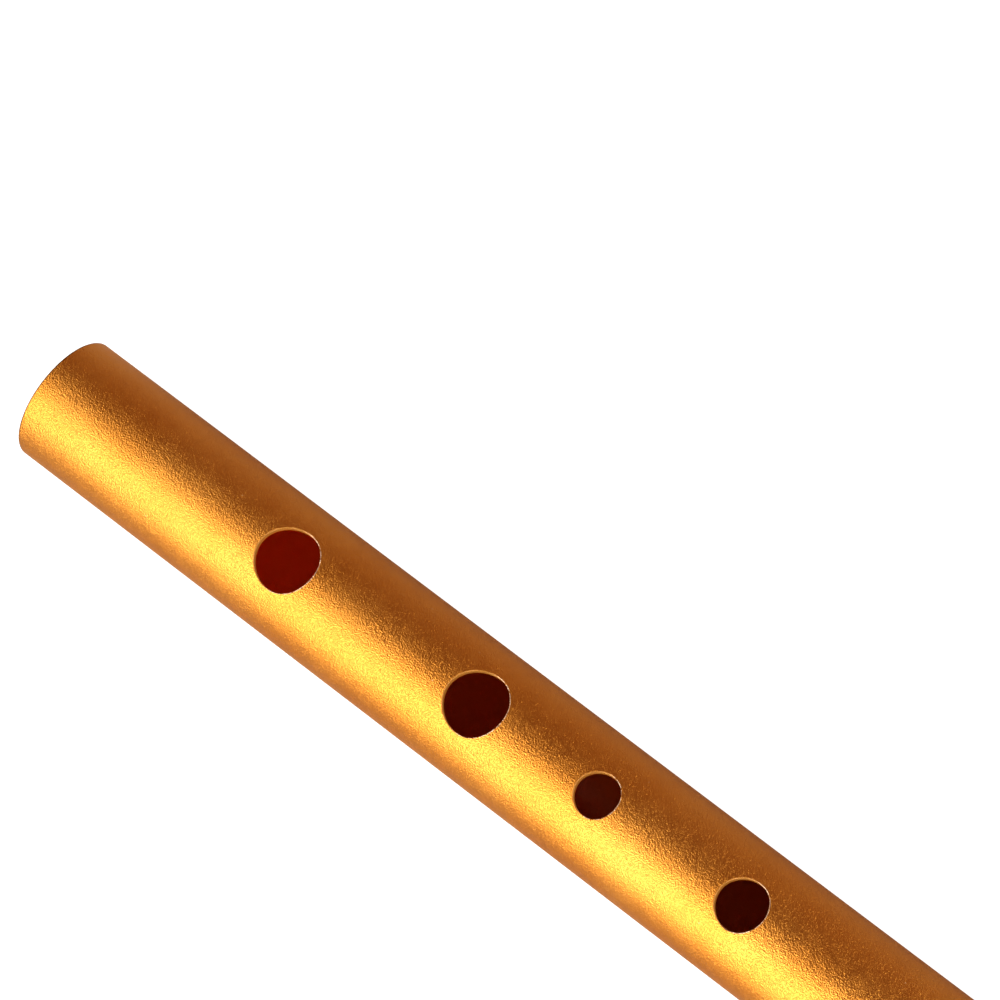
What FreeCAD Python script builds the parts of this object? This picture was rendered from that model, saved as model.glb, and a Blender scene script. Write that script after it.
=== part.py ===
# Tunable six-hole tin whistle in high D, lying on its side with the finger holes up.
# Frame, in millimetres: origin at the centre of the tube's open foot end, +X along the
# tube's axis towards the mouthpiece, +Z out of the finger holes, +Y to the side.
import FreeCAD, Part
import math
import os

os.makedirs("parts", exist_ok=True)

V = FreeCAD.Vector
X = V(1, 0, 0)

# ---------------------------------------------------------------- driving dimensions
TUBE_R = 8.0            # outside radius of the coated aluminium tube
BORE_R = 7.25           # bore of the tube: 0.75 mm wall
BODY_LEN = 203.0        # foot end to the upper end of the tube
FOOT_EDGE = 0.20        # small rounding on the foot's rim
SEAT_R = 7.7            # turned-down seat under the body ferrule
SEAT_X = 195.0          # where that seat starts
BORE_END = 172.0        # where the plain bore ends, in a relief groove for glue
RELIEF_R = 7.55         # radius of that groove
GLUE_X = 174.0          # where the counterbore for the tuning slide starts

# finger holes, counted from the mouthpiece: station from the foot end, and radius
HOLES = {
    6: (38.6, 3.95),
    5: (68.0, 3.95),
    4: (86.5, 2.75),
    3: (108.1, 3.15),
    2: (132.6, 2.80),
    1: (152.5, 2.60),
}

SLIDE_R = 7.3           # tuning slide, outside radius
SLIDE_BORE_R = 6.85     # tuning slide, bore
SLIDE_END = 239.0       # upper end of the slide, inside the head's socket

HEAD_X = 206.05         # lower face of the head at rest, 2.05 mm above the body ferrule
SOCKET_R = 7.35         # head socket: 0.05 mm running clearance round the slide
SOCKET_END = 241.5      # shoulder at the bottom of the socket
HEAD_BORE_R = 6.85      # bore of the voicing chamber
RING_X = (211.75, 217.6)    # centres of the two O-ring grooves: both rings stay on the slide over the whole travel
GROOVE_R = 8.4          # radius of the groove's floor
GROOVE_W = 1.5          # width of a groove
RING_MID_R = 7.85       # centre line radius of an O-ring
RING_CORD_R = 0.52      # half its cord thickness

BARREL_R = 9.5          # outside radius of the head barrel at the window
BLADE_X = 265.2         # edge of the labium
BLADE_R = 7.08          # height of that edge above the axis
RAMP_X = 256.2          # where the ramp meets the outside of the barrel
BLOCK_X = 270.0         # face of the fipple block, and the windway's exit
WINDOW_HALF = 4.5       # half the width of window, ramp and windway
SPIGOT_R = 7.85         # barrel under the beak sleeve: the windway is 1.0 mm high
SLEEVE_R = 9.8          # outside radius of the beak sleeve at its front edge
TIP_R = 9.0             # the same at the mouth end
TIP_X = 303.0           # mouth end

CUT_R = 36.0            # radius of the curved cut under the beak
CUT_C = (307.0, -33.2)  # centre of that cut, X and Z

PIN_R = 0.75            # block pins
PIN_X = 276.0
PIN_DEPTH = 3.9         # inner end of a pin, from the axis


# ---------------------------------------------------------------- helpers
def cyl(r, x0, x1):
    return Part.makeCylinder(r, x1 - x0, V(x0, 0, 0), X)


def ring(r_out, r_in, x0, x1):
    return cyl(r_out, x0, x1).cut(cyl(r_in, x0 - 1, x1 + 1))


def revolve(points):
    """Solid of revolution about the X axis from (x, r) points, closed in order."""
    pts = [V(x, 0, r) for x, r in points]
    face = Part.Face(Part.makePolygon(pts + [pts[0]]))
    return face.revolve(V(0, 0, 0), X, 360)


def turned(segments):
    """Solid of revolution about the X axis from mixed straight and arc edges.
    A segment is ("l", (x, r)) to the next point, or ("a", (xm, rm), (x, r)) through a middle point."""
    start = segments[0]
    at = V(start[0], 0, start[1])
    first = at
    edges = []
    for s in segments[1:]:
        if s[0] == "l":
            to = V(s[1][0], 0, s[1][1])
            edges.append(Part.LineSegment(at, to).toShape())
        else:
            mid = V(s[1][0], 0, s[1][1])
            to = V(s[2][0], 0, s[2][1])
            edges.append(Part.Arc(at, mid, to).toShape())
        at = to
    if at.distanceToPoint(first) > 1e-6:
        edges.append(Part.LineSegment(at, first).toShape())
    face = Part.Face(Part.Wire(edges))
    return face.revolve(V(0, 0, 0), X, 360)


def mid_arc(p, q, c):
    """Point half way along the short arc from p to q about the centre c, all (x, r)."""
    r = math.hypot(p[0] - c[0], p[1] - c[1])
    mx, mr = (p[0] + q[0]) / 2 - c[0], (p[1] + q[1]) / 2 - c[1]
    m = math.hypot(mx, mr)
    return (c[0] + mx / m * r, c[1] + mr / m * r)


def save(name, shape):
    shape = shape.removeSplitter()
    solids = shape.Solids
    out = solids[0] if len(solids) == 1 else Part.makeCompound(solids)
    out.exportStep("parts/" + name + ".step")
    print(name, "solids", len(solids), "valid", out.isValid(), "volume", round(out.Volume, 2))
    return out


# ---------------------------------------------------------------- lower body
# Body tube: rounded rim at the foot, six drilled holes, seat for the ferrule outside
# and a counterbore for the slide inside.
e = FOOT_EDGE
k = e * (1 - math.sqrt(0.5))
tube = turned([
    (0.0, BORE_R),
    ("l", (BORE_END, BORE_R)),
    ("l", (BORE_END, RELIEF_R)),
    ("l", (GLUE_X, RELIEF_R)),
    ("l", (GLUE_X, SLIDE_R)),
    ("l", (BODY_LEN, SLIDE_R)),
    ("l", (BODY_LEN, SEAT_R)),
    ("l", (SEAT_X, SEAT_R)),
    ("l", (SEAT_X, TUBE_R)),
    ("l", (e, TUBE_R)),
    ("a", (k, TUBE_R - k), (0.0, TUBE_R - e)),
    ("l", (0.0, BORE_R)),
])
for station, r in HOLES.values():
    tube = tube.cut(Part.makeCylinder(r, 12.0, V(station, 0, 0), V(0, 0, 1)))
save("body_tube", tube)

# Body ferrule: a brass ring round the tube's upper end, with a lip over the end face.
ferrule = turned([
    (SEAT_X, SEAT_R),
    ("l", (SEAT_X, 8.3)),
    ("a", (SEAT_X + 0.18, 8.72), (SEAT_X + 0.6, 8.9)),
    ("l", (SEAT_X + 2.0, 8.9)),
    ("a", (SEAT_X + 2.4, 8.5), (SEAT_X + 2.8, 8.9)),
    ("l", (SEAT_X + 5.8, 8.9)),
    ("a", (SEAT_X + 6.2, 8.5), (SEAT_X + 6.6, 8.9)),
    ("l", (SEAT_X + 8.4, 8.9)),
    ("a", (SEAT_X + 8.82, 8.72), (SEAT_X + 9.0, 8.3)),
    ("l", (SEAT_X + 9.0, SLIDE_R)),
    ("l", (BODY_LEN, SLIDE_R)),
    ("l", (BODY_LEN, SEAT_R)),
])
save("body_ferrule", ferrule)

# Tuning slide: thin brass tube glued into the counterbore, standing out of the body.
slide = revolve([
    (GLUE_X, SLIDE_BORE_R),
    (SLIDE_END, SLIDE_BORE_R),
    (SLIDE_END, SLIDE_R - 0.25),
    (SLIDE_END - 0.8, SLIDE_R),
    (GLUE_X, SLIDE_R),
])
save("tuning_slide", slide)

# ---------------------------------------------------------------- O-rings in the head's socket
for name, x in zip(("o_ring_lower", "o_ring_upper"), RING_X):
    save(name, Part.makeTorus(RING_MID_R, RING_CORD_R, V(x, 0, 0), X))

# ---------------------------------------------------------------- head
# The curved cut that shapes the underside of the beak, shared by sleeve, barrel and block.
beak_cut = Part.makeCylinder(CUT_R, 60.0, V(CUT_C[0], -30, CUT_C[1]), V(0, 1, 0))

# Head ferrule: brass ring round the socket's mouth, with a lip over the barrel's end.
hf = HEAD_X
head_ferrule = turned([
    (hf, 7.6),
    ("l", (hf, 9.3)),
    ("a", (hf + 0.2, 9.8), (hf + 0.7, 10.0)),
    ("l", (hf + 2.2, 10.0)),
    ("a", (hf + 2.6, 9.6), (hf + 3.0, 10.0)),
    ("l", (hf + 5.2, 10.0)),
    ("a", (hf + 5.6, 9.6), (hf + 6.0, 10.0)),
    ("l", (hf + 7.25, 10.0)),
    ("a", (hf + 7.72, 9.8), (hf + 7.95, 9.3)),
    ("l", (hf + 7.95, 9.05)),
    ("l", (hf + 1.0, 9.05)),
    ("l", (hf + 1.0, 7.6)),
])
save("head_ferrule", head_ferrule)

# Head barrel: turned in black acetal. Socket with two ring grooves, voicing chamber,
# window with its ramped labium, and a spigot with the windway slot under the beak sleeve.
bx = hf + 1.0           # lower end of the barrel, inside the ferrule's lip
fx = hf + 7.95          # shoulder that the ferrule butts against
outer = turned([
    (bx, 0.0),
    ("l", (bx, 9.05)),
    ("l", (fx, 9.05)),
    ("l", (fx, 9.45)),
    ("l", (fx + 1.2, 9.45)),
    ("a", (fx + 1.7, 8.95), (fx + 2.2, 9.45)),
    ("l", (fx + 5.0, 9.45)),
    ("a", (fx + 5.5, 8.95), (fx + 6.0, 9.45)),
    ("l", (fx + 8.0, 9.5)),
    ("a", (fx + 17.0, 9.25), (fx + 26.0, 9.5)),
    ("l", (BLOCK_X, BARREL_R)),
    ("l", (BLOCK_X, SPIGOT_R)),
    ("l", (TIP_X, SPIGOT_R)),
    ("l", (TIP_X, 0.0)),
])
barrel = outer.cut(cyl(SOCKET_R, bx - 1, SOCKET_END)).cut(cyl(HEAD_BORE_R, bx, TIP_X + 1))
barrel = barrel.cut(revolve([(bx - 0.1, 7.0), (bx - 0.1, SOCKET_R + 0.3), (bx + 0.4, SOCKET_R), (bx + 0.4, 7.0)]))
for x in RING_X:
    barrel = barrel.cut(ring(GROOVE_R, SOCKET_R - 0.3, x - GROOVE_W / 2, x + GROOVE_W / 2))
# window, ramp and windway slot are all the same width
band = Part.makeBox(80.0, 2 * WINDOW_HALF, 20.0, V(240.0, -WINDOW_HALF, 0.0))
window = cyl(12.0, BLADE_X, BLOCK_X).common(band)
slope = (12.0 - BLADE_R) * (BLADE_X - RAMP_X) / (BARREL_R - BLADE_R)
ramp = revolve([(BLADE_X, BLADE_R), (BLADE_X, 12.0), (BLADE_X - slope, 12.0)]).common(band)
windway = cyl(SPIGOT_R + 1.0, BLOCK_X - 0.01, TIP_X + 1).common(band)
barrel = barrel.cut(window).cut(ramp).cut(windway).cut(beak_cut)

# Beak sleeve: pressed over the spigot, it forms the windway's roof and the player's beak.
sleeve = turned([
    (BLOCK_X, SPIGOT_R),
    ("l", (BLOCK_X, SLEEVE_R - 0.5)),
    ("a", mid_arc((BLOCK_X, SLEEVE_R - 0.5), (BLOCK_X + 0.5, SLEEVE_R), (BLOCK_X + 0.5, SLEEVE_R - 0.5)), (BLOCK_X + 0.5, SLEEVE_R)),
    ("l", (BLOCK_X + 4.0, SLEEVE_R)),
    ("l", (TIP_X - 1.0, TIP_R + 0.05)),
    ("a", (TIP_X - 0.3, TIP_R - 0.26), (TIP_X, TIP_R - 0.9)),
    ("l", (TIP_X, SPIGOT_R)),
])
sleeve = sleeve.cut(beak_cut)

# Fipple block: a plug that closes the bore and makes the windway's floor.
block = cyl(HEAD_BORE_R, BLOCK_X, TIP_X).cut(beak_cut)

# Two brass pins, one each side, hold sleeve, barrel and block together.
pins = []
for s in (1, -1):
    reach = math.sqrt(SLEEVE_R ** 2 - PIN_R ** 2)
    pins.append(Part.makeCylinder(PIN_R, reach - 0.15 - PIN_DEPTH, V(PIN_X, s * PIN_DEPTH, 0), V(0, s, 0)))
    hole = Part.makeCylinder(PIN_R, 12.0 - PIN_DEPTH, V(PIN_X, s * PIN_DEPTH, 0), V(0, s, 0))
    barrel, sleeve, block = barrel.cut(hole), sleeve.cut(hole), block.cut(hole)

save("head_barrel", barrel)
save("beak_sleeve", sleeve)
save("fipple_block", block)
save("block_pins", Part.makeCompound(pins))
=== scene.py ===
import math

import bmesh
import bpy
import numpy as np
from mathutils import Matrix, Vector


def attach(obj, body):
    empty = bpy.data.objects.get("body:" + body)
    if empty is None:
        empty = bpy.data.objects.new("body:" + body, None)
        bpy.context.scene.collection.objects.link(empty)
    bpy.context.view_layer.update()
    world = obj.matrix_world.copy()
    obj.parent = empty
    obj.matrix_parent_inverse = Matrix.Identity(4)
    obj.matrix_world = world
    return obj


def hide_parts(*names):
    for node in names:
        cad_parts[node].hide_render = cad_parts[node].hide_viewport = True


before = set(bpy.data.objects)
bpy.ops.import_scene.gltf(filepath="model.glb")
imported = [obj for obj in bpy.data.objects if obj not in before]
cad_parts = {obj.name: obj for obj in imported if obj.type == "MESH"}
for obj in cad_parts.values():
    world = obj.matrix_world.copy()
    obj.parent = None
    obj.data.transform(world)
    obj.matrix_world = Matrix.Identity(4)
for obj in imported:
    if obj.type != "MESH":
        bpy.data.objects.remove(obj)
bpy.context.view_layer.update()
scene = bpy.context.scene
scene.view_settings.view_transform = "Standard"
scene.view_settings.look = "None"
scene.view_settings.exposure = 0.0
scene.view_settings.gamma = 1.0

MM = 0.001

# ------------------------------------------------------------------ dimensions, in millimetres
TUBE_R, BORE_R, SLIDE_R, SLIDE_BORE = 8.0, 7.25, 7.3, 6.85
BORE_END, RELIEF_R = 172.0, 7.55
GLUE_X, SEAT_X, BODY_LEN, SEAT_R = 174.0, 195.0, 203.0, 7.7
HOLES = [(38.6, 3.95), (68.0, 3.95), (86.5, 2.75), (108.1, 3.15), (132.6, 2.80), (152.5, 2.60)]
SLIDE_END = 239.0
HEAD_X, SOCKET_R, SOCKET_END = 206.05, 7.35, 241.5
RING_X, GROOVE_R, GROOVE_W = (211.75, 217.6), 8.4, 1.5
RING_MID_R, RING_CORD_R = 7.85, 0.52
BARREL_R, BLADE_X, BLADE_R, RAMP_X = 9.5, 265.2, 7.08, 256.2
BLOCK_X, HALF_W, SPIGOT_R, TIP_X = 270.0, 4.5, 7.85, 303.0
SLEEVE_R, TIP_R = 9.8, 9.0
CUT_R, CUT_CX, CUT_CZ = 36.0, 307.0, -33.2
PIN_X, PIN_R = 276.0, 0.75


# ------------------------------------------------------------------ mesh helpers
class Skin:
    """Collects point grids, in millimetres, and welds them into one closed mesh."""

    def __init__(self):
        self.points, self.faces, self.tris, self.count = [], [], [], 0

    def add(self, pts, faces):
        faces = np.asarray(faces, int) + self.count
        self.points.append(np.asarray(pts, float).reshape(-1, 3))
        (self.faces if faces.shape[1] == 4 else self.tris).append(faces)
        self.count += len(self.points[-1])

    def grid(self, p, wrap=False):
        p = np.asarray(p, float)
        n, m = p.shape[:2]
        i = np.arange(n * m).reshape(n, m)
        if wrap:
            i = np.concatenate([i, i[:, :1]], 1)
        f = np.stack([i[:-1, :-1], i[1:, :-1], i[1:, 1:], i[:-1, 1:]], -1).reshape(-1, 4)
        self.add(p, f)

    def mesh(self, name, sharp=32.0, merge=2.5e-7):
        v = np.concatenate(self.points) * MM
        f = np.concatenate(self.faces).tolist() + (np.concatenate(self.tris).tolist() if self.tris else [])
        me = bpy.data.meshes.new(name)
        me.from_pydata(v.tolist(), [], f)
        bm = bmesh.new()
        bm.from_mesh(me)
        bmesh.ops.remove_doubles(bm, verts=bm.verts, dist=merge)
        bmesh.ops.dissolve_degenerate(bm, dist=merge, edges=bm.edges)
        bmesh.ops.recalc_face_normals(bm, faces=bm.faces)
        odd = [e for e in bm.edges if len(e.link_faces) != 2]
        volume = bm.calc_volume(signed=True) * 1e9
        bm.to_mesh(me)
        bm.free()
        me.update()
        print("mesh", name, "verts", len(me.vertices), "faces", len(me.polygons), "open edges", len(odd), "volume mm3", round(volume, 1))
        me.polygons.foreach_set("use_smooth", [True] * len(me.polygons))
        me.set_sharp_from_angle(angle=math.radians(sharp))
        return me


def put(name, me, body, nodes, material):
    o = bpy.data.objects.new(name, me)
    scene.collection.objects.link(o)
    me.materials.append(material)
    w = o.modifiers.new("even_normals", "WEIGHTED_NORMAL")
    w.mode, w.weight, w.keep_sharp = "FACE_AREA", 50, True
    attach(o, body)
    if nodes:
        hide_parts(*nodes)
    return o


def arc(cx, cr, r, a0, a1, n=6):
    """Points on an arc in the (x, r) plane, angles in degrees from +x towards +r."""
    a = np.radians(np.linspace(a0, a1, n + 1))
    return [(cx + r * math.cos(t), cr + r * math.sin(t)) for t in a]


def arc3(p, m, q, n=8):
    """Points on the arc from p through m to q."""
    (x1, y1), (x2, y2), (x3, y3) = p, m, q
    d = 2 * (x1 * (y2 - y3) + x2 * (y3 - y1) + x3 * (y1 - y2))
    ux = ((x1**2 + y1**2) * (y2 - y3) + (x2**2 + y2**2) * (y3 - y1) + (x3**2 + y3**2) * (y1 - y2)) / d
    uy = ((x1**2 + y1**2) * (x3 - x2) + (x2**2 + y2**2) * (x1 - x3) + (x3**2 + y3**2) * (x2 - x1)) / d
    r = math.hypot(x1 - ux, y1 - uy)
    a, b, c = (math.atan2(y - uy, x - ux) for x, y in (p, m, q))
    while b - a > math.pi: b -= 2 * math.pi
    while b - a < -math.pi: b += 2 * math.pi
    while c - b > math.pi: c -= 2 * math.pi
    while c - b < -math.pi: c += 2 * math.pi
    return [(ux + r * math.cos(t), uy + r * math.sin(t)) for t in np.linspace(a, c, n + 1)]


def lathe_points(profile, n=192, turn=0.0):
    p = np.asarray(profile, float)
    t = np.linspace(0, 2 * math.pi, n, endpoint=False) + turn
    x = np.repeat(p[:, :1], n, 1)
    return np.stack([x, p[:, 1:2] * np.sin(t)[None], p[:, 1:2] * np.cos(t)[None]], -1)


def lathe(name, profile, n=192, sharp=32.0):
    """A closed solid of revolution about X: the profile is a closed loop of (x, r)."""
    s = Skin()
    s.grid(lathe_points(list(profile) + [profile[0]], n), wrap=True)
    return s.mesh(name, sharp)


def dense(profile, step=1.0):
    """Adds points on long straight runs of a profile."""
    out = [profile[0]]
    for a, b in zip(profile[:-1], profile[1:]):
        k = max(1, int(math.ceil(math.dist(a, b) / step)))
        out += [(a[0] + (b[0] - a[0]) * i / k, a[1] + (b[1] - a[1]) * i / k) for i in range(1, k + 1)]
    return out


# ------------------------------------------------------------------ body tube
def hole_patch(skin, x0, r, xs, thetas, big, small, edge):
    """The outer and inner skin round one finger hole, its rounded rim and its wall.
    xs and thetas are the grid lines of the square that the patch fills."""
    ub, vb = [], []
    nx, nt = len(xs), len(thetas)
    for i in range(nx - 1):
        ub.append(xs[i]); vb.append(thetas[0])
    for j in range(nt - 1):
        ub.append(xs[-1]); vb.append(thetas[j])
    for i in range(nx - 1, 0, -1):
        ub.append(xs[i]); vb.append(thetas[-1])
    for j in range(nt - 1, 0, -1):
        ub.append(xs[0]); vb.append(thetas[j])
    ub, vb = np.array(ub) - x0, np.array(vb)
    t = np.arctan2(vb * big, ub)
    c, s = np.cos(t), np.sin(t)
    # a drilled and coated rim is never quite round or quite even
    wob = 0.012 * np.sin(3 * t + x0) + 0.008 * np.sin(7 * t + 2.1 * x0) + 0.006 * np.sin(17 * t + 0.7 * x0)
    e = edge * (1 + 0.25 * np.sin(5 * t + 1.3 * x0) + 0.15 * np.sin(11 * t + 0.4 * x0))
    rr0 = r + wob * 0.6

    def z_out(rr):
        return np.sqrt(big ** 2 - (rr * s) ** 2)

    zc = z_out(rr0)
    slope = rr0 * s ** 2 / zc
    phi = np.arctan(slope)
    reach = e / np.tan((math.pi / 2 - phi) / 2)
    t2z = zc - reach
    rings = []
    # from the square's border in to the rounding's start
    rim_r = rr0 + reach * np.cos(phi)
    rim_x, rim_y = rim_r * c, rim_r * s
    rim_t = np.arcsin(rim_y / big)
    n_out = 16
    for k in range(n_out + 1):
        w = (k / n_out) ** 0.75
        x = ub * (1 - w) + rim_x * w
        th = vb * (1 - w) + rim_t * w
        rings.append(np.stack([x0 + x, big * np.sin(th), big * np.cos(th)], -1))
    n_f = 7
    for k in range(1, n_f + 1):
        b = (math.pi / 2 - phi) + (math.pi - (math.pi / 2 - phi)) * k / n_f
        rr = rr0 + e + e * np.cos(b)
        z = t2z + e * np.sin(b)
        z = z + (z_out(rr) - (zc - slope * (rr - rr0)))
        rings.append(np.stack([x0 + rr * c, rr * s, z], -1))
    z_in_edge = np.sqrt(small ** 2 - (rr0 * s) ** 2)
    z_last = rings[-1][:, 2]
    e2 = 0.05
    for k in range(1, 4):
        z = z_last + (z_in_edge + e2 - z_last) * k / 3
        rings.append(np.stack([x0 + rr0 * c, rr0 * s, z], -1))
    # a small break at the inner edge
    for k in range(1, 4):
        b = math.pi / 2 * k / 3
        rr = rr0 + e2 * (1 - np.cos(b))
        zi = np.sqrt(small ** 2 - (rr * s) ** 2)
        z = zi + e2 * (1 - np.sin(b))
        rings.append(np.stack([x0 + rr * c, rr * s, z], -1))
    rr = rr0 + e2
    in_x, in_t = rr * c, np.arcsin(rr * s / small)
    n_in = 10
    for k in range(1, n_in + 1):
        w = (k / n_in) ** 1.2
        x = in_x * (1 - w) + ub * w
        th = in_t * (1 - w) + vb * w
        rings.append(np.stack([x0 + x, small * np.sin(th), small * np.cos(th)], -1))
    p = np.stack(rings)
    skin.grid(p, wrap=True)


def body_tube():
    skin = Skin()
    nt, kt = 256, 28
    th = np.linspace(-math.pi, math.pi, nt + 1)
    mid = nt // 2
    half, cells = 5.3, 34
    blocks = []
    x = 0.45
    for x0, r in HOLES:
        a, b = x0 - half, x0 + half
        k = max(1, int(round((a - x) / 0.9)))
        blocks.append((np.linspace(x, a, k + 1), None))
        blocks.append((np.linspace(a, b, cells + 1), (x0, r)))
        x = b
    blocks.append((np.linspace(x, BORE_END, int(round((BORE_END - x) / 0.9)) + 1), None))

    def shell(r, xs, cols):
        return np.stack([np.repeat(xs[:, None], len(cols), 1), np.repeat((r * np.sin(cols))[None], len(xs), 0),
                         np.repeat((r * np.cos(cols))[None], len(xs), 0)], -1)

    lo, hi = mid - kt, mid + kt
    for xs, hole in blocks:
        if hole is None:
            skin.grid(shell(TUBE_R, xs, th))
            skin.grid(shell(BORE_R, xs, th))
        else:
            for r in (TUBE_R, BORE_R):
                skin.grid(shell(r, xs, th[:lo + 1]))
                skin.grid(shell(r, xs, th[hi:]))
            hole_patch(skin, hole[0], hole[1], xs, th[lo:hi + 1], TUBE_R, BORE_R, 0.11)
    # foot end: the coat rounds the outer edge softly, the inner edge is only broken
    e, i = 0.20, 0.10
    foot = [(0.45, TUBE_R)] + arc(e, TUBE_R - e, e, 90, 180, 9) + [(0.0, BORE_R + i)] + arc(i, BORE_R + i, i, 180, 270, 5)[1:] + [(0.45, BORE_R)]
    skin.grid(lathe_points(foot, nt, -math.pi), wrap=True)
    # upper end: turned seat and counterbore, under the ferrule
    top = dense([(BORE_END, TUBE_R), (SEAT_X, TUBE_R)], 1.0) + [(SEAT_X, SEAT_R), (BODY_LEN, SEAT_R), (BODY_LEN, SLIDE_R)] + \
        dense([(BODY_LEN, SLIDE_R), (GLUE_X, SLIDE_R)], 4.0)[1:] + [(GLUE_X, RELIEF_R), (BORE_END, RELIEF_R), (BORE_END, BORE_R)]
    skin.grid(lathe_points(top, nt, -math.pi), wrap=True)
    return skin.mesh("body_tube_skin", 38.0)


# ------------------------------------------------------------------ head
def beak_z(x):
    """Height of the curved cut under the beak, far below the part where there is none."""
    return CUT_CZ + math.sqrt(CUT_R ** 2 - (x - CUT_CX) ** 2) if abs(x - CUT_CX) < CUT_R else -99.0


def reaches(z, r):
    return z > -r + 0.002


def meets(radius, lo=272.0, hi=TIP_X):
    """The station where the cut first reaches a given radius, which may be a function of x."""
    f = radius if callable(radius) else (lambda x: radius)
    for _ in range(60):
        mid = (lo + hi) / 2
        if beak_z(mid) + f(mid) > 0:
            hi = mid
        else:
            lo = mid
    return hi


def stations(points, step=0.5, fine=(), fine_step=0.08):
    """Sorted stations through the given points, closer together just after each fine one."""
    xs = set(round(p, 6) for p in points)
    for f in fine:
        xs.add(round(f, 6))
        d = fine_step
        x = f
        while d < step:
            x += d
            if x < TIP_X - 0.05:
                xs.add(round(x, 6))
            d *= 1.35
    xs = sorted(xs)
    out = [xs[0]]
    for b in xs[1:]:
        k = max(1, int(math.ceil((b - out[-1]) / step - 1e-9)))
        a = out[-1]
        out += [a + (b - a) * i / k for i in range(1, k + 1)]
    return out


def at(profile, x):
    px, pr = zip(*profile)
    return float(np.interp(x, px, pr))


def both(skin, p):
    """Adds a grid and its mirror image in y."""
    p = np.asarray(p, float)
    skin.grid(p)
    q = p.copy()
    q[..., 1] *= -1
    skin.grid(q)


def polar(r, t):
    return (r * math.sin(t), r * math.cos(t))


SLEEVE_PROFILE = arc(BLOCK_X + 0.5, SLEEVE_R - 0.5, 0.5, 180, 90, 8) + [(BLOCK_X + 4.0, SLEEVE_R)] + \
    arc3((TIP_X - 1.0, TIP_R + 0.05), (TIP_X - 0.3, TIP_R - 0.26), (TIP_X, TIP_R - 0.9), 10)


def beak_sleeve():
    s = Skin()
    prof = SLEEVE_PROFILE
    ro = lambda x: at(prof, x)
    xo, xi = meets(ro), meets(SPIGOT_R)
    a, b = PIN_X - 1.9, PIN_X + 1.9
    xs = stations([p[0] for p in prof] + [a, b], 0.45, (xo, xi))
    half, q_n, f_n = 96, 10, 5
    j0, j1 = 42, 54
    outer, inner, strip = [], [], []
    for x in xs:
        R, z = ro(x), beak_z(x)
        rho = min(0.35, 0.35 * (R - SPIGOT_R))
        if reaches(z, R):
            yf = math.sqrt(max((R - rho) ** 2 - (z + rho) ** 2, 0.0))
            te = math.atan2(yf, z + rho)
            fil = [(yf + rho * math.sin(c), z + rho + rho * math.cos(c)) for c in np.linspace(te, math.pi, f_n + 1)]
        else:
            te = math.pi
            fil = [(0.0, -R)] * (f_n + 1)
        ti = math.acos(z / SPIGOT_R) if reaches(z, SPIGOT_R) else math.pi
        o = [polar(R, te * j / half) for j in range(half + 1)]
        i = [polar(SPIGOT_R, ti * j / half) for j in range(half + 1)]
        y_end = i[-1][0] if reaches(z, SPIGOT_R) else 0.0
        st = [(fil[-1][0] + (y_end - fil[-1][0]) * k / q_n, z if reaches(z, R) else -R) for k in range(q_n + 1)]
        outer.append([(x, *p) for p in o])
        inner.append([(x, *p) for p in i])
        strip.append([(x, *p) for p in fil[:-1] + st])
    outer, inner, strip = map(np.array, (outer, inner, strip))
    ia, ib = xs.index(min(xs, key=lambda x: abs(x - a))), xs.index(min(xs, key=lambda x: abs(x - b)))
    both(s, outer[:ia + 1])
    both(s, outer[ib:])
    both(s, outer[ia:ib + 1, :j0 + 1])
    both(s, outer[ia:ib + 1, j1:])
    both(s, inner)
    k = next(n for n, x in enumerate(xs) if x >= xo - 1e-5)
    both(s, strip[k:])
    both(s, np.stack([outer[0], inner[0]]))
    both(s, np.stack([outer[-1], inner[-1]]))
    # the fan that closes the tip's end face beside the cut
    tip = strip[-1]
    fan = np.concatenate([[outer[-1, -1]], tip])
    for m in (1, -1):
        f = fan * [1, m, 1]
        n = len(f)
        s.add(f, [[0, i, i + 1] for i in range(2, n - 1)])
    # pin holes: rim, wall and floor, one each side
    ub, zb = [], []
    ring = [(i, j0) for i in range(ia, ib)] + [(ib, j) for j in range(j0, j1)] + [(i, j1) for i in range(ib, ia, -1)] + [(ia, j) for j in range(j1, j0, -1)]
    border = np.array([outer[i, j] for i, j in ring])
    t = np.arctan2(border[:, 2], border[:, 0] - PIN_X)
    rings = []
    e = 0.07

    def on(rad):
        x, z = PIN_X + rad * np.cos(t), rad * np.sin(t)
        R = np.array([ro(v) for v in x])
        return x, np.sqrt(R ** 2 - z ** 2), z

    n = 8
    x1, y1, z1 = on(PIN_R + e)
    for k in range(n + 1):
        w = (k / n) ** 0.8
        x, z = border[:, 0] * (1 - w) + x1 * w, border[:, 2] * (1 - w) + z1 * w
        R = np.array([ro(v) for v in x])
        rings.append(np.stack([x, np.sqrt(R ** 2 - z ** 2), z], -1))
    rings[0] = border
    for k in range(1, 4):
        c = math.pi / 2 * k / 3
        x, y, z = on(PIN_R + e * (1 - math.sin(c)))
        rings.append(np.stack([x, y - e * (1 - math.cos(c)), z], -1))
    for y in (9.0, 8.0):
        rings.append(np.stack([PIN_X + PIN_R * np.cos(t), np.full_like(t, y), PIN_R * np.sin(t)], -1))
    rings.append(np.stack([np.full_like(t, PIN_X), np.full_like(t, 8.0), np.zeros_like(t)], -1))
    rings = np.stack(rings)
    for m in (1, -1):
        s.grid(rings * [1, m, 1], wrap=True)
    return s.mesh("beak_sleeve_skin", 30.0)


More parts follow.
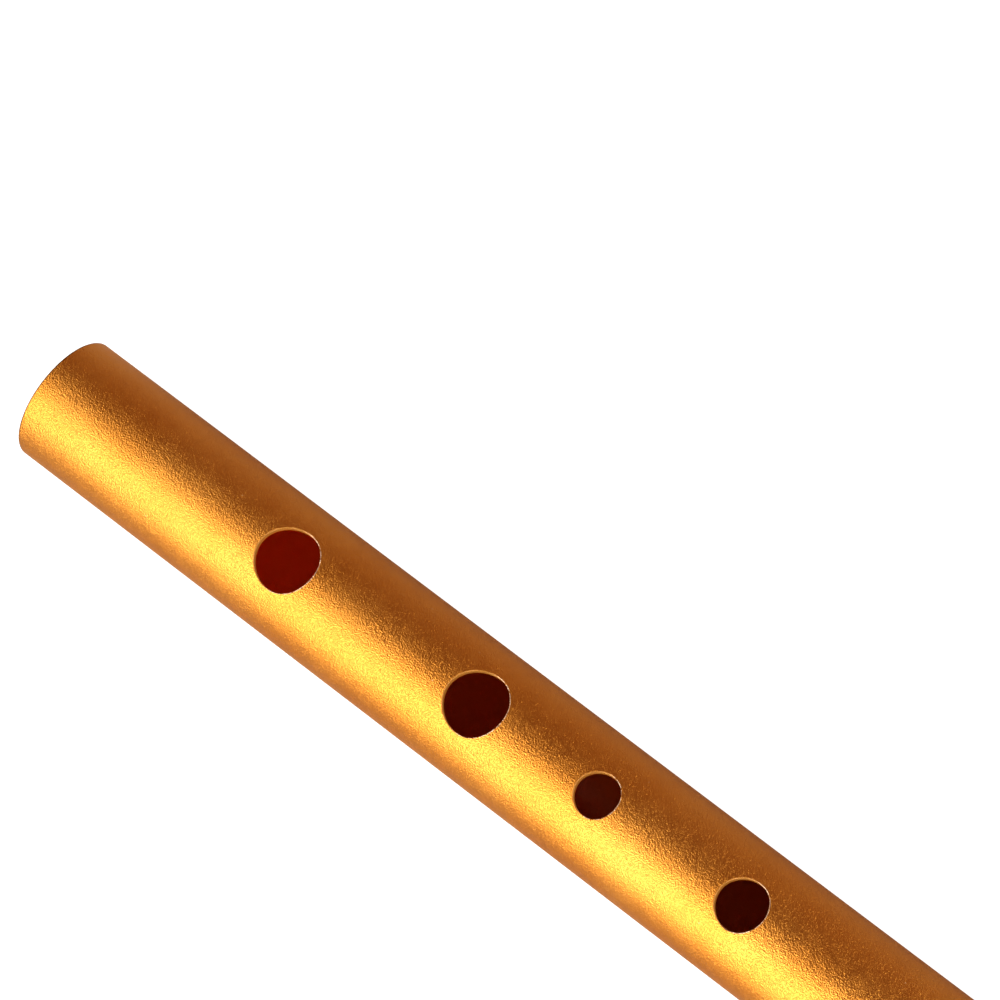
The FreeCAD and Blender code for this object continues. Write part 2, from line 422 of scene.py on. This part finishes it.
def fipple_block():
    s = Skin()
    R = SLIDE_BORE
    xo = meets(R)
    xs = stations([BLOCK_X, TIP_X], 0.6, (xo,))
    half, q_n = 80, 16
    arcs, flat = [], []
    for x in xs:
        z = beak_z(x)
        te = math.acos(z / R) if reaches(z, R) else math.pi
        o = [polar(R, te * j / half) for j in range(half + 1)]
        arcs.append([(x, *p) for p in o])
        flat.append([(x, o[-1][0] * (1 - k / q_n) if reaches(z, R) else 0.0, z if reaches(z, R) else -R) for k in range(q_n + 1)])
    arcs, flat = np.array(arcs), np.array(flat)
    both(s, arcs)
    k = next(n for n, x in enumerate(xs) if x >= xo - 1e-5)
    both(s, flat[k:])
    both(s, np.stack([np.repeat([[BLOCK_X, 0.0, 0.0]], half + 1, 0), arcs[0]]))
    loop = np.concatenate([arcs[-1], flat[-1][1:]])
    c = np.array([TIP_X, 0.0, (beak_z(TIP_X) + R) / 2])
    both(s, np.stack([np.repeat(c[None], len(loop), 0), loop]))
    return s.mesh("fipple_block_skin", 30.0)


def head_barrel():
    s = Skin()
    K, J = 14, 104
    tw, twi = math.asin(HALF_W / BARREL_R), math.asin(HALF_W / SLIDE_BORE)
    so = math.asin(HALF_W / SPIGOT_R)
    top = lambda edge: np.linspace(0, edge, K + 1)
    rest = lambda edge, end=math.pi: np.linspace(edge, end, J + 1)

    def rows(profile, cols):
        c = np.asarray(cols)
        return np.array([[(x, r * math.sin(t), r * math.cos(t)) for t in c] for x, r in profile])

    bx, fx = HEAD_X + 1.0, HEAD_X + 7.95
    b = 0.12
    outside = [(bx, 9.05 - b)] + arc(bx + b, 9.05 - b, b, 180, 90, 3)[1:] + dense([(bx + b, 9.05), (fx, 9.05)], 2.0)[1:] + \
        [(fx, 9.45 - b)] + arc(fx + b, 9.45 - b, b, 180, 90, 4)[1:] + [(fx + 1.2, 9.45)] + \
        arc3((fx + 1.2, 9.45), (fx + 1.7, 8.95), (fx + 2.2, 9.45), 14)[1:] + dense([(fx + 2.2, 9.45), (fx + 5.0, 9.45)], 0.7)[1:] + \
        arc3((fx + 5.0, 9.45), (fx + 5.5, 8.95), (fx + 6.0, 9.45), 14)[1:] + dense([(fx + 6.0, 9.45), (fx + 8.0, 9.5)], 0.7)[1:] + \
        arc3((fx + 8.0, 9.5), (fx + 17.0, 9.25), (fx + 26.0, 9.5), 26)[1:] + dense([(fx + 26.0, 9.5), (RAMP_X, BARREL_R)], 0.8)[1:]
    grooves = []
    for x in sorted(RING_X, reverse=True):
        grooves += [(x + GROOVE_W / 2, SOCKET_R), (x + GROOVE_W / 2, GROOVE_R), (x - GROOVE_W / 2, GROOVE_R), (x - GROOVE_W / 2, SOCKET_R)]
    inside = dense([(BLADE_X, SLIDE_BORE), (SOCKET_END, SLIDE_BORE)], 1.2) + [(SOCKET_END, SOCKET_R)] + grooves + [(bx + 0.4, SOCKET_R), (bx, SOCKET_R + 0.3)]
    both(s, rows(outside, top(tw)))
    both(s, rows(outside, rest(tw)))
    both(s, rows(inside, top(twi)))
    both(s, rows(inside, rest(twi)))
    for cols_o, cols_i in ((top(tw), top(twi)), (rest(tw), rest(twi))):
        both(s, np.stack([rows([outside[0]], cols_o)[0], rows([inside[-1]], cols_i)[0]]))
    # beside the ramp and the window
    ramp_xs = np.linspace(RAMP_X, BLADE_X, 25)
    win_xs = np.linspace(BLADE_X, BLOCK_X, 11)
    both(s, rows([(x, BARREL_R) for x in ramp_xs], rest(tw)))
    both(s, rows([(x, BARREL_R) for x in win_xs], rest(tw)))
    both(s, rows([(x, SLIDE_BORE) for x in win_xs], rest(twi)))
    # the ramp, its side walls and the blade's edge
    rr = lambda x: BARREL_R + (BLADE_R - BARREL_R) * (x - RAMP_X) / (BLADE_X - RAMP_X)
    both(s, np.array([[(x, *polar(rr(x), t)) for t in top(math.asin(HALF_W / rr(x)))] for x in ramp_xs]))
    zt, zs, zb, zi = (math.sqrt(r * r - HALF_W ** 2) for r in (BARREL_R, SPIGOT_R, BLADE_R, SLIDE_BORE))
    m1, m2 = 5, 3
    upper = np.linspace(zt, zs, m1 + 1)
    lower = np.concatenate([np.linspace(zs, zb, m2 + 1), [zi]])
    down = np.concatenate([upper, lower[1:-1]])
    share = (zt - down) / (zt - zb)
    both(s, np.array([[(x, HALF_W, zt - f * (zt - math.sqrt(rr(x) ** 2 - HALF_W ** 2))) for f in share] for x in ramp_xs]))
    both(s, np.array([[(x, HALF_W, z) for z in np.concatenate([down, [zi]])] for x in win_xs]))
    both(s, np.stack([rows([(BLADE_X, BLADE_R)], top(math.asin(HALF_W / BLADE_R)))[0], rows([(BLADE_X, SLIDE_BORE)], top(twi))[0]]))
    # shoulder under the sleeve's front face
    o, i = rows([(BLOCK_X, BARREL_R)], rest(tw))[0], rows([(BLOCK_X, SPIGOT_R)], rest(so))[0]
    both(s, np.stack([o * (1 - k / m1) + i * (k / m1) for k in range(m1 + 1)]))
    # spigot with the windway slot above and the beak's cut below
    x1, x2 = meets(SPIGOT_R), meets(SLIDE_BORE)
    xs = stations([BLOCK_X, TIP_X], 0.6, (x1, x2))
    share = (zs - lower) / (zs - zi)
    out, inn, wall, cut = [], [], [], []
    for x in xs:
        z = beak_z(x)
        to = math.acos(z / SPIGOT_R) if reaches(z, SPIGOT_R) else math.pi
        ti = math.acos(z / SLIDE_BORE) if reaches(z, SLIDE_BORE) else math.pi
        out.append([(x, *polar(SPIGOT_R, t)) for t in rest(so, to)])
        inn.append([(x, *polar(SLIDE_BORE, t)) for t in rest(twi, ti)])
        wall.append([(x, HALF_W, zz) for zz in lower])
        yo = SPIGOT_R * math.sin(to) if reaches(z, SPIGOT_R) else 0.0
        yi = SLIDE_BORE * math.sin(ti) if reaches(z, SLIDE_BORE) else 0.0
        cut.append([(x, yo + (yi - yo) * f, z if reaches(z, SPIGOT_R) else -SPIGOT_R) for f in share])
    out, inn, wall, cut = map(np.array, (out, inn, wall, cut))
    both(s, out)
    both(s, inn)
    both(s, wall)
    k = next(n for n, x in enumerate(xs) if x >= x1 - 1e-5)
    both(s, cut[k:])
    both(s, np.stack([out[-1] * (1 - f) + inn[-1] * f for f in share]))
    return s.mesh("head_barrel_skin", 30.0)


def body_ferrule():
    x = SEAT_X
    p = [(x, SEAT_R, 0.05), (x, 8.3)] + arc3((x, 8.3), (x + 0.18, 8.72), (x + 0.6, 8.9))[1:] + [(x + 2.0, 8.9)] + \
        arc3((x + 2.0, 8.9), (x + 2.4, 8.5), (x + 2.8, 8.9), 14)[1:] + [(x + 3.8, 8.9), (x + 4.8, 8.9), (x + 5.8, 8.9)] + \
        arc3((x + 5.8, 8.9), (x + 6.2, 8.5), (x + 6.6, 8.9), 14)[1:] + [(x + 8.4, 8.9)] + \
        arc3((x + 8.4, 8.9), (x + 8.82, 8.72), (x + 9.0, 8.3))[1:] + [(x + 9.0, SLIDE_R + 0.1), (x + 8.9, SLIDE_R), (BODY_LEN, SLIDE_R), (BODY_LEN, SEAT_R)]
    return lathe("body_ferrule_skin", [q[:2] for q in p], 224, 34.0)


def head_ferrule():
    h = HEAD_X
    p = [(h + 0.12, 7.6), (h, 7.72), (h, 9.3)] + arc3((h, 9.3), (h + 0.2, 9.8), (h + 0.7, 10.0))[1:] + [(h + 2.2, 10.0)] + \
        arc3((h + 2.2, 10.0), (h + 2.6, 9.6), (h + 3.0, 10.0), 14)[1:] + [(h + 3.7, 10.0), (h + 4.4, 10.0), (h + 5.2, 10.0)] + \
        arc3((h + 5.2, 10.0), (h + 5.6, 9.6), (h + 6.0, 10.0), 14)[1:] + [(h + 7.25, 10.0)] + \
        arc3((h + 7.25, 10.0), (h + 7.72, 9.8), (h + 7.95, 9.3))[1:] + [(h + 7.95, 9.05), (h + 1.0, 9.05), (h + 1.0, 7.6)]
    return lathe("head_ferrule_skin", p, 224, 34.0)


def tuning_slide():
    p = dense([(GLUE_X, SLIDE_R), (SLIDE_END - 0.8, SLIDE_R)], 2.0) + [(SLIDE_END - 0.1, SLIDE_R - 0.22), (SLIDE_END, SLIDE_R - 0.3), (SLIDE_END, SLIDE_BORE + 0.05), (SLIDE_END - 0.05, SLIDE_BORE)] + \
        dense([(SLIDE_END - 0.05, SLIDE_BORE), (GLUE_X, SLIDE_BORE)], 3.0)[1:]
    return lathe("tuning_slide_skin", p, 224, 34.0)


def o_ring(x, name):
    n = 32
    p = [(x + RING_CORD_R * math.cos(a), RING_MID_R + RING_CORD_R * math.sin(a)) for a in np.linspace(0, 2 * math.pi, n, endpoint=False)]
    return lathe(name, p, 192, 60.0)


def block_pins():
    s = Skin()
    reach = math.sqrt(SLEEVE_R ** 2 - PIN_R ** 2) - 0.15
    prof = [(3.9, 0.0), (3.9, PIN_R - 0.1), (4.0, PIN_R), (reach - 0.35, PIN_R), (reach - 0.22, PIN_R)] + \
        [(reach - 0.22 + 0.12 * math.sin(a), PIN_R - 0.12 + 0.12 * math.cos(a)) for a in np.linspace(0.2, math.pi / 2, 4)] + \
        [(reach - 0.1 + 0.1 * (1 - (q / (PIN_R - 0.12)) ** 2), q) for q in np.linspace(PIN_R - 0.14, 0.0, 6)]
    t = np.linspace(0, 2 * math.pi, 48, endpoint=False)
    for m in (1, -1):
        p = np.array([[(PIN_X + r * math.cos(a), m * y, r * math.sin(a)) for a in t] for y, r in prof])
        s.grid(p, wrap=True)
    return s.mesh("block_pins_skin", 34.0)


# ------------------------------------------------------------------ materials
def nodes_of(name):
    m = bpy.data.materials.new(name)
    m.use_nodes = True
    nt = m.node_tree
    nt.nodes.clear()
    out = nt.nodes.new("ShaderNodeOutputMaterial")
    b = nt.nodes.new("ShaderNodeBsdfPrincipled")
    nt.links.new(b.outputs["BSDF"], out.inputs["Surface"])
    return m, nt, b


class Net:
    def __init__(self, nt):
        self.nt = nt

    def new(self, kind, **props):
        n = self.nt.nodes.new(kind)
        for k, v in props.items():
            setattr(n, k, v)
        return n

    def link(self, a, b):
        self.nt.links.new(a, b)
        return b

    def set(self, node, **values):
        for k, v in values.items():
            node.inputs[k.replace("_", " ")].default_value = v
        return node

    def math(self, op, a, b=None, c=None, clamp=False):
        n = self.new("ShaderNodeMath", operation=op, use_clamp=clamp)
        for i, v in enumerate((a, b, c)):
            if v is None:
                continue
            if isinstance(v, (int, float)):
                n.inputs[i].default_value = v
            else:
                self.link(v, n.inputs[i])
        return n.outputs[0]

    def mix(self, fac, a, b, kind="MIX"):
        n = self.new("ShaderNodeMix", data_type="RGBA", blend_type=kind)
        for sock, v in ((n.inputs[0], fac), (n.inputs[6], a), (n.inputs[7], b)):
            if isinstance(v, (int, float)):
                sock.default_value = v
            elif isinstance(v, tuple):
                sock.default_value = v if len(v) == 4 else (*v, 1.0)
            else:
                self.link(v, sock)
        return n.outputs[2]

    def noise(self, vec, scale, detail=2.0, rough=0.5, distort=0.0):
        n = self.new("ShaderNodeTexNoise")
        n.inputs["Scale"].default_value = scale
        n.inputs["Detail"].default_value = detail
        n.inputs["Roughness"].default_value = rough
        n.inputs["Distortion"].default_value = distort
        self.link(vec, n.inputs["Vector"])
        return n.outputs["Fac"]

    def voronoi(self, vec, scale, feature="F1", smooth=None):
        n = self.new("ShaderNodeTexVoronoi", feature=feature)
        n.inputs["Scale"].default_value = scale
        if smooth is not None and "Smoothness" in n.inputs:
            n.inputs["Smoothness"].default_value = smooth
        self.link(vec, n.inputs["Vector"])
        return n.outputs["Distance"]

    def ramp(self, v, a, b, lo=0.0, hi=1.0, smooth=True):
        n = self.new("ShaderNodeMapRange", clamp=True)
        n.interpolation_type = "SMOOTHSTEP" if smooth else "LINEAR"
        self.link(v, n.inputs["Value"])
        n.inputs["From Min"].default_value, n.inputs["From Max"].default_value = a, b
        n.inputs["To Min"].default_value, n.inputs["To Max"].default_value = lo, hi
        return n.outputs["Result"]

    def bump(self, height, distance, strength=1.0, normal=None):
        n = self.new("ShaderNodeBump")
        n.inputs["Strength"].default_value = strength
        n.inputs["Distance"].default_value = distance
        self.link(height, n.inputs["Height"])
        if normal is not None:
            self.link(normal, n.inputs["Normal"])
        return n.outputs["Normal"]

    def coords(self):
        """Object coordinates, in metres, and their x, y and z and the radius about X."""
        tc = self.new("ShaderNodeTexCoord")
        sep = self.new("ShaderNodeSeparateXYZ")
        self.link(tc.outputs["Object"], sep.inputs[0])
        x, y, z = sep.outputs[0], sep.outputs[1], sep.outputs[2]
        r = self.math("SQRT", self.math("ADD", self.math("MULTIPLY", y, y), self.math("MULTIPLY", z, z)))
        return tc.outputs["Object"], x, y, z, r


def gold_coat():
    m, nt, b = nodes_of("gold_coat")
    g = Net(nt)
    vec, x, y, z, r = g.coords()
    # the coat's colour drifts slightly; inside the bore it is painted red, a painted stand-in for light bounced
    # between the gold walls, and painted darker from 34 to 66 mm from the foot, a painted shade
    drift = g.ramp(g.noise(vec, 90.0, 3.0), 0.35, 0.65)
    base = g.mix(drift, (0.93, 0.36, 0.050), (0.97, 0.40, 0.062))
    # painted light: the bore's red stands in for light bounced between the gold walls
    inside = g.ramp(r, 0.00775, 0.00750)
    # painted shade: the bore is painted darker from 34 to 66 mm from the foot
    bore_shade = g.ramp(x, 0.034, 0.066)
    base = g.mix(inside, base, g.mix(bore_shade, (0.92, 0.17, 0.008), (0.60, 0.10, 0.006)))
    # the coat is drawn thin and pale on the upper lips of the finger holes on their head side, partly worn coat and
    # partly a painted highlight;
    # the walls on their foot side lie dull and are painted brighter, a painted light, the walls on their head side
    # are painted darker, a painted shade, and the foot's edge is painted dark, a painted shade
    near = side = None
    for hx, hr in HOLES:
        dx = g.math("SUBTRACT", x, hx * MM)
        d = g.math("SUBTRACT", g.math("SQRT", g.math("ADD", g.math("MULTIPLY", dx, dx), g.math("MULTIPLY", y, y))), hr * MM)
        here = g.math("MULTIPLY", g.ramp(d, 0.0006, 0.0004), g.ramp(dx, -0.3 * hr * MM, 0.35 * hr * MM))
        near = d if near is None else g.math("MINIMUM", near, d)
        side = here if side is None else g.math("MAXIMUM", side, here)
    lip = g.math("MULTIPLY", g.ramp(near, 0.00017, 0.00010), g.math("MULTIPLY", g.ramp(z, 0.0060, 0.0064), g.ramp(r, 0.00732, 0.00738)))
    # breaks up the pale lip, which is partly thin worn coat and partly a painted highlight
    wear_and_highlight_breaks = g.ramp(g.noise(vec, 2600.0, 2.0), 0.34, 0.50)
    rim = g.math("MULTIPLY", g.math("MULTIPLY", lip, wear_and_highlight_breaks), g.math("MULTIPLY", side, g.ramp(r, 0.00785, 0.00790)))
    # painted shade: the wall on the head side of each hole is painted darker
    base = g.mix(g.math("MULTIPLY", g.math("MULTIPLY", lip, side), 0.70), base, (0.28, 0.085, 0.018))
    # painted light: the wall on the foot side of each hole is painted brighter and less metallic
    glow = g.math("MULTIPLY", lip, g.math("SUBTRACT", 1.0, side))
    base = g.mix(g.math("MULTIPLY", glow, 0.9), base, (0.54, 0.23, 0.035))
    # partly worn coat, partly painted highlight: the outer lip on the head side of each hole is painted pale
    base = g.mix(g.math("MULTIPLY", rim, 0.95), base, (1.0, 0.72, 0.48))
    # painted shade: the foot's rounded edge is painted dark, standing in for a dark reflection
    foot = g.math("MULTIPLY", g.ramp(x, 0.00026, 0.00015), g.ramp(x, 0.000002, 0.00001))
    base = g.mix(g.math("MULTIPLY", foot, 0.85), base, (0.12, 0.035, 0.010))
    # a few pale pinpricks where dust was caught in the coat
    dust = g.math("MULTIPLY", g.ramp(g.voronoi(vec, 260.0), 0.030, 0.018), g.ramp(r, 0.0078, 0.0079))
    base = g.mix(g.math("MULTIPLY", dust, 0.55), base, (1.0, 0.74, 0.40))
    g.link(base, b.inputs["Base Color"])
    dull = g.math("MAXIMUM", g.math("MULTIPLY", rim, 0.15), g.math("MULTIPLY", dust, 0.7))
    dull = g.math("MAXIMUM", dull, g.math("MULTIPLY", glow, 0.85))
    g.link(g.math("MULTIPLY", g.ramp(r, 0.00750, 0.00775, 0.12, 1.0), g.math("SUBTRACT", 1.0, dull)), b.inputs["Metallic"])
    rough = g.ramp(g.noise(vec, 700.0, 2.0), 0.3, 0.7, 0.29, 0.35)
    g.link(rough, b.inputs["Roughness"])
    # orange peel: worm-like grain a fifth of a millimetre across, with finer grit on it
    warp = g.new("ShaderNodeTexNoise")
    warp.inputs["Scale"].default_value = 2600.0
    g.link(vec, warp.inputs["Vector"])
    off = g.new("ShaderNodeVectorMath", operation="MULTIPLY_ADD")
    g.link(warp.outputs["Color"], off.inputs[0])
    off.inputs[1].default_value = (0.0002, 0.0002, 0.0002)
    g.link(vec, off.inputs[2])
    peel = g.noise(off.outputs[0], 6000.0, 1.0, 0.45, 0.0)
    grit = g.noise(vec, 11000.0, 1.0)
    lump = g.noise(vec, 1600.0, 1.0)
    h = g.math("ADD", g.math("MULTIPLY", peel, 1.0), g.math("ADD", g.math("MULTIPLY", grit, 0.12), g.math("MULTIPLY", lump, 0.22)))
    h = g.math("MULTIPLY", h, g.ramp(r, 0.00750, 0.00775, 0.25, 1.0))
    g.link(g.bump(h, 0.000095), b.inputs["Normal"])
    return m


def brass():
    m, nt, b = nodes_of("brass")
    g = Net(nt)
    vec, x, y, z, r = g.coords()
    stretch = g.new("ShaderNodeMapping")
    stretch.inputs["Scale"].default_value = (1.0, 0.035, 0.035)
    g.link(vec, stretch.inputs["Vector"])
    lines = g.noise(stretch.outputs[0], 14000.0, 3.0, 0.65)
    patch = g.ramp(g.noise(vec, 170.0, 4.0, 0.6), 0.42, 0.68)
    dots = g.ramp(g.noise(vec, 1500.0, 2.0), 0.62, 0.74)
    base = g.mix(patch, (0.86, 0.62, 0.27), (0.74, 0.47, 0.17))
    base = g.mix(g.math("MULTIPLY", dots, 0.35), base, (0.42, 0.24, 0.09))
    g.link(base, b.inputs["Base Color"])
    b.inputs["Metallic"].default_value = 1.0
    rough = g.math("ADD", g.ramp(lines, 0.3, 0.7, 0.17, 0.30), g.math("MULTIPLY", patch, 0.10))
    g.link(rough, b.inputs["Roughness"])
    g.link(g.bump(lines, 0.000004), b.inputs["Normal"])
    return m


def black_acetal():
    m, nt, b = nodes_of("black_acetal")
    g = Net(nt)
    vec, x, y, z, r = g.coords()
    # fine rings left by the lathe tool, and a faint bloom where it is handled
    stretch = g.new("ShaderNodeMapping")
    stretch.inputs["Scale"].default_value = (1.0, 0.02, 0.02)
    g.link(vec, stretch.inputs["Vector"])
    rings = g.noise(stretch.outputs[0], 9000.0, 2.0, 0.6)
    bloom = g.ramp(g.noise(vec, 120.0, 4.0, 0.6), 0.35, 0.75)
    speck = g.ramp(g.noise(vec, 5200.0, 1.0), 0.66, 0.78)
    base = g.mix(bloom, (0.011, 0.011, 0.012), (0.020, 0.020, 0.021))
    base = g.mix(g.math("MULTIPLY", speck, 0.10), base, (0.16, 0.155, 0.15))
    g.link(base, b.inputs["Base Color"])
    rough = g.math("ADD", g.ramp(rings, 0.3, 0.7, 0.29, 0.40), g.math("MULTIPLY", bloom, 0.10))
    g.link(rough, b.inputs["Roughness"])
    b.inputs["IOR"].default_value = 1.48
    edge = g.new("ShaderNodeBevel", samples=6)
    edge.inputs["Radius"].default_value = 0.00014
    g.link(g.bump(rings, 0.0000035, normal=edge.outputs[0]), b.inputs["Normal"])
    return m


def natural_acetal():
    m, nt, b = nodes_of("natural_acetal")
    g = Net(nt)
    vec, x, y, z, r = g.coords()
    cloud = g.noise(vec, 260.0, 3.0)
    stretch = g.new("ShaderNodeMapping")
    stretch.inputs["Scale"].default_value = (1.0, 0.03, 1.0)
    g.link(vec, stretch.inputs["Vector"])
    marks = g.noise(stretch.outputs[0], 6000.0, 2.0)
    g.link(g.mix(g.ramp(cloud, 0.35, 0.65), (0.80, 0.76, 0.65), (0.72, 0.66, 0.53)), b.inputs["Base Color"])
    g.link(g.ramp(marks, 0.3, 0.7, 0.33, 0.46), b.inputs["Roughness"])
    b.inputs["Subsurface Weight"].default_value = 0.25
    b.inputs["Subsurface Radius"].default_value = (0.0012, 0.0010, 0.0007)
    b.inputs["Subsurface Scale"].default_value = 1.0
    edge = g.new("ShaderNodeBevel", samples=6)
    edge.inputs["Radius"].default_value = 0.00012
    g.link(g.bump(marks, 0.000004, normal=edge.outputs[0]), b.inputs["Normal"])
    return m


def ring_rubber():
    m, nt, b = nodes_of("ring_rubber")
    g = Net(nt)
    vec, x, y, z, r = g.coords()
    dust = g.ramp(g.noise(vec, 2600.0, 3.0, 0.6), 0.45, 0.7)
    g.link(g.mix(dust, (0.016, 0.016, 0.016), (0.040, 0.039, 0.037)), b.inputs["Base Color"])
    g.link(g.ramp(g.noise(vec, 900.0, 2.0), 0.3, 0.7, 0.48, 0.66), b.inputs["Roughness"])
    g.link(g.bump(g.noise(vec, 6000.0, 2.0), 0.000006), b.inputs["Normal"])
    return m


GOLD, BRASS, BLACK, IVORY, RUBBER = gold_coat(), brass(), black_acetal(), natural_acetal(), ring_rubber()

put("body_tube_shell", body_tube(), "body", ["body_tube"], GOLD)
put("body_ferrule_ring", body_ferrule(), "body", ["body_ferrule"], BRASS)
put("tuning_slide_tube", tuning_slide(), "body", ["tuning_slide"], BRASS)
put("o_ring_lower_seal", o_ring(RING_X[0], "o_ring_lower_skin"), "slide_rings", ["o_ring_lower"], RUBBER)
put("o_ring_upper_seal", o_ring(RING_X[1], "o_ring_upper_skin"), "slide_rings", ["o_ring_upper"], RUBBER)
put("head_ferrule_ring", head_ferrule(), "head", ["head_ferrule"], BRASS)
put("head_barrel_body", head_barrel(), "head", ["head_barrel"], BLACK)
put("beak_sleeve_shell", beak_sleeve(), "head", ["beak_sleeve"], BLACK)
put("fipple_block_plug", fipple_block(), "head", ["fipple_block"], IVORY)
put("block_pins_pair", block_pins(), "head", ["block_pins"], BRASS)

# ------------------------------------------------------------------ camera
# Solved as a view of a 16 mm tube: turn, lean and roll of the tube, and the foot's centre, in millimetres.
TURN, LEAN, ROLL = math.radians(36.6309), math.radians(21.9015), math.radians(-6.9656)
FOOT_AT = Vector((-51.676, -12.025, 831.339)) * MM
along = Vector((math.cos(TURN) * math.cos(LEAN), math.sin(TURN) * math.cos(LEAN), -math.sin(LEAN)))
face = Vector((0, 0, -1)) - along * along.dot(Vector((0, 0, -1)))
face.normalize()
side = along.cross(face)
up = math.cos(ROLL) * face + math.sin(ROLL) * side
left = up.cross(along)
to_view = Matrix((along, left, up)).transposed()
place = -(to_view.transposed() @ FOOT_AT)
turn = to_view.transposed() @ Matrix.Diagonal((1, -1, -1))
cam_data = bpy.data.cameras.new("view")
cam_data.lens, cam_data.sensor_width = 252.0, 36.0
cam_data.clip_start, cam_data.clip_end = 0.05, 50.0
cam = bpy.data.objects.new("view", cam_data)
cam.matrix_world = Matrix.Translation(place) @ turn.to_4x4()
scene.collection.objects.link(cam)
scene.camera = cam
print("camera at", [round(v, 4) for v in place], "looks", [round(v, 4) for v in (turn @ Vector((0, 0, -1)))])

# ------------------------------------------------------------------ stage and light
bm = bmesh.new()
bmesh.ops.create_grid(bm, x_segments=1, y_segments=1, size=3.0)
me = bpy.data.meshes.new("floor")
bm.to_mesh(me)
bm.free()
floor = bpy.data.objects.new("floor", me)
floor.location = (0.15, 0.0, -0.0101)
scene.collection.objects.link(floor)
fm = bpy.data.materials.new("floor")
fm.use_nodes = True
nt = fm.node_tree
nt.nodes.clear()
g = Net(nt)
out = g.new("ShaderNodeOutputMaterial")
card = g.new("ShaderNodeBsdfDiffuse")
card.inputs["Color"].default_value = (0.44, 0.38, 0.32, 1)
glow = g.new("ShaderNodeEmission")
glow.inputs["Color"].default_value = (1, 1, 1, 1)
glow.inputs["Strength"].default_value = 1.0
seen = g.new("ShaderNodeAddShader")
pale = g.new("ShaderNodeBsdfDiffuse")
pale.inputs["Color"].default_value = (0.40, 0.40, 0.40, 1)
g.link(pale.outputs[0], seen.inputs[0])
g.link(glow.outputs[0], seen.inputs[1])
path = g.new("ShaderNodeLightPath")
pick = g.new("ShaderNodeMixShader")
g.link(path.outputs["Is Camera Ray"], pick.inputs[0])
g.link(card.outputs[0], pick.inputs[1])
g.link(seen.outputs[0], pick.inputs[2])
geo = g.new("ShaderNodeNewGeometry")
clear = g.new("ShaderNodeBsdfTransparent")
under = g.new("ShaderNodeMixShader")
g.link(geo.outputs["Backfacing"], under.inputs[0])
g.link(pick.outputs[0], under.inputs[1])
g.link(clear.outputs[0], under.inputs[2])
g.link(under.outputs[0], out.inputs["Surface"])
me.materials.append(fm)

centre = Vector((0.075, 0, 0))
view_dir = (place - centre).normalized()
axial = view_dir.dot(Vector((1, 0, 0)))
perp = (view_dir - Vector((axial, 0, 0))).normalized()
w_dir = perp.cross(Vector((1, 0, 0)))           # across the tube, in the picture's plane
if (turn.transposed() @ w_dir).y > 0:           # towards the lower left
    w_dir = -w_dir


world = bpy.data.worlds.new("room")
scene.world = world
world.use_nodes = True
nt = world.node_tree
nt.nodes.clear()
g = Net(nt)
wo = g.new("ShaderNodeOutputWorld")
dim = g.new("ShaderNodeBackground")
dim.inputs["Color"].default_value = (1.0, 0.50, 0.32, 1)
# the room is darkest overhead, beside the lamps, and lighter towards its walls
dark = math.cos(math.radians(-26.0)) * perp + math.sin(math.radians(-26.0)) * w_dir
dark = dark * math.sqrt(1 - axial ** 2) - Vector((axial, 0, 0))
coord = g.new("ShaderNodeTexCoord")
dot = g.new("ShaderNodeVectorMath", operation="DOT_PRODUCT")
g.link(coord.outputs["Generated"], dot.inputs[0])
dot.inputs[1].default_value = tuple(dark)
g.link(g.ramp(dot.outputs["Value"], 0.66, 0.96, 0.285, 0.14), dim.inputs["Strength"])
white = g.new("ShaderNodeBackground")
white.inputs["Color"].default_value = (1, 1, 1, 1)
white.inputs["Strength"].default_value = 1.0
path = g.new("ShaderNodeLightPath")
mix = g.new("ShaderNodeMixShader")
g.link(path.outputs["Is Camera Ray"], mix.inputs[0])
g.link(dim.outputs[0], mix.inputs[1])
g.link(white.outputs[0], mix.inputs[2])
g.link(mix.outputs[0], wo.inputs["Surface"])


def lamp(name, angle, axial_shift, distance, size, size_y, power, color, target=centre, spin=0.0):
    """A soft box seen in the tube at the given angle round its axis from the view, and shifted along it."""
    a = math.radians(angle)
    d = (math.cos(a) * perp + math.sin(a) * w_dir) * math.sqrt(1 - axial_shift ** 2) + Vector((axial_shift, 0, 0))
    data = bpy.data.lights.new(name, "AREA")
    data.shape = "RECTANGLE"
    data.size, data.size_y = size, size_y
    data.energy = power
    data.color = color
    o = bpy.data.objects.new(name, data)
    o.location = target + d * distance
    z = d.normalized()
    xax = (Vector((1, 0, 0)) - z * z.x).normalized()
    o.rotation_mode = "QUATERNION"
    xax = xax * math.cos(math.radians(spin)) + z.cross(xax) * math.sin(math.radians(spin))
    o.rotation_quaternion = Matrix((xax, z.cross(xax), z)).transposed().to_quaternion()
    o.visible_camera = False
    scene.collection.objects.link(o)
    return o


lamp("key_box", 50.0, -axial, 0.9, 1.0, 0.70, 1.3, (0.97, 1.0, 0.97), Vector((0.36, 0, 0)))
lamp("far_box", 52.0, -axial, 0.5, 0.5, 0.30, 1.25, (0.97, 1.0, 0.97), Vector((0.30, 0, 0)))
lamp("wide_box", 42.0, -axial, 0.34, 0.34, 1.10, 1.78, (0.97, 1.0, 0.92), Vector((-0.03, 0, 0)), 55.0)
lamp("foot_box", 40.0, -0.84, 0.5, 0.20, 0.20, 0.22, (1.0, 0.95, 0.90), Vector((0.06, 0, 0)))
lamp("lip_box", 50.0, 0.86, 0.55, 0.25, 0.25, 1.3, (1.0, 0.97, 0.93), Vector((0.08, 0, 0)))
back = Vector((0.66, 0.62, 0.42)).normalized()
lamp("back_box", math.degrees(math.atan2(back.dot(w_dir), back.dot(perp))), back.x, 0.9, 0.7, 0.6, 3.8, (1.0, 0.98, 0.95), Vector((0.15, 0, 0)))

bpy.context.view_layer.update()
